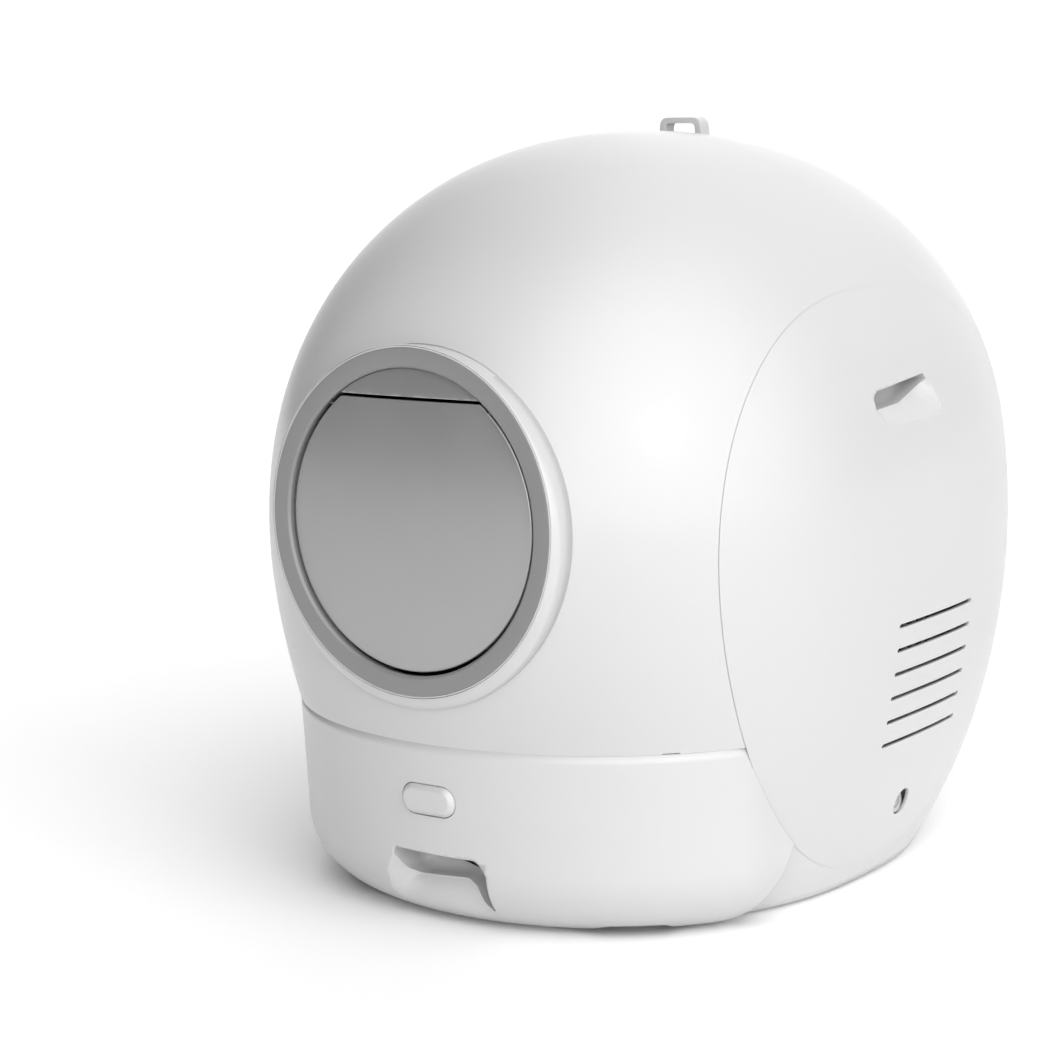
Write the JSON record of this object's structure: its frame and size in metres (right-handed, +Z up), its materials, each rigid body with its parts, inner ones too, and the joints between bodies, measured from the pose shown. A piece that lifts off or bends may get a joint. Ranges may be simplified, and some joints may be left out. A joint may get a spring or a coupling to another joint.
{
  "type": "cat litter box with hood",
  "caption": "Enclosed egg-shaped litter box: lift-off hood, round domed swing door in a raised ring, oval vented side covers and a pull-out litter drawer.",
  "frame": {"origin": "on the floor under the middle of the whole box", "axes": "+Z up, the door and the drawer face -Y, +X is the side with side_cover_right"},
  "size_m": [0.49, 0.5872, 0.548],
  "materials": {
    "white_plastic": "smooth satin-gloss moulded",
    "pale_plastic": "moulded satin",
    "grey_plastic": "fine moulded grain",
    "flap_plastic": "smooth satin, domed",
    "steel": "bright drawn",
    "rubber_feet": "matt",
    "carbon": "porous activated-carbon pad"
  },
  "bodies": {
    "base": {"base_shell": "white_plastic", "base_feet": "rubber_feet", "runner_left": "pale_plastic", "runner_right": "pale_plastic"},
    "hood": {"hood_shell": "white_plastic", "side_cover_right": "white_plastic", "side_cover_left": "white_plastic", "grip_cup_right": "white_plastic", "grip_cup_left": "white_plastic", "filter_frame_right": "pale_plastic", "filter_frame_left": "pale_plastic", "carbon_filter_right": "carbon", "carbon_filter_left": "carbon", "cover_screws_right": "steel", "cover_screws_left": "steel", "top_loop": "white_plastic", "loop_screws": "steel", "door_ring": "grey_plastic", "ring_retainer": "pale_plastic", "ring_screws": "steel", "door_header": "grey_plastic", "hinge_rod": "steel"},
    "flap": {"door_flap": "flap_plastic"},
    "drawer": {"drawer_front": "white_plastic", "drawer_grip_cup": "white_plastic", "drawer_sled": "white_plastic", "sled_screws": "steel", "litter_pan": "pale_plastic", "liner_rim": "grey_plastic", "latch_housing": "pale_plastic", "latch_spring": "steel"},
    "latch_button": {"latch_button": "white_plastic"},
    "lock_right": {"lock_button_right": "pale_plastic"},
    "lock_left": {"lock_button_left": "pale_plastic"}
  },
  "joints": [
    {"name": "hood_lift", "type": "slide", "parent": "base", "child": "hood", "axis": [0, 0, 1], "range_m": [0, 0.2]},
    {"name": "flap_swing", "type": "hinge", "parent": "hood", "child": "flap", "pos_m": [0, -0.2805, 0.36873], "axis": [1, 0, 0], "range_deg": [-65, 65]},
    {"name": "drawer_slide", "type": "slide", "parent": "base", "child": "drawer", "axis": [0, -1, 0], "range_m": [0, 0.28]},
    {"name": "latch_press", "type": "slide", "parent": "drawer", "child": "latch_button", "axis": [0, 1, 0], "range_m": [0, 0.003], "stiffness_N_per_m": 400},
    {"name": "lock_press_right", "type": "slide", "parent": "hood", "child": "lock_right", "axis": [-1, 0, 0], "range_m": [0, 0.003], "stiffness_N_per_m": 400},
    {"name": "lock_press_left", "type": "slide", "parent": "hood", "child": "lock_left", "axis": [1, 0, 0], "range_m": [0, 0.003], "stiffness_N_per_m": 400}
  ]
}
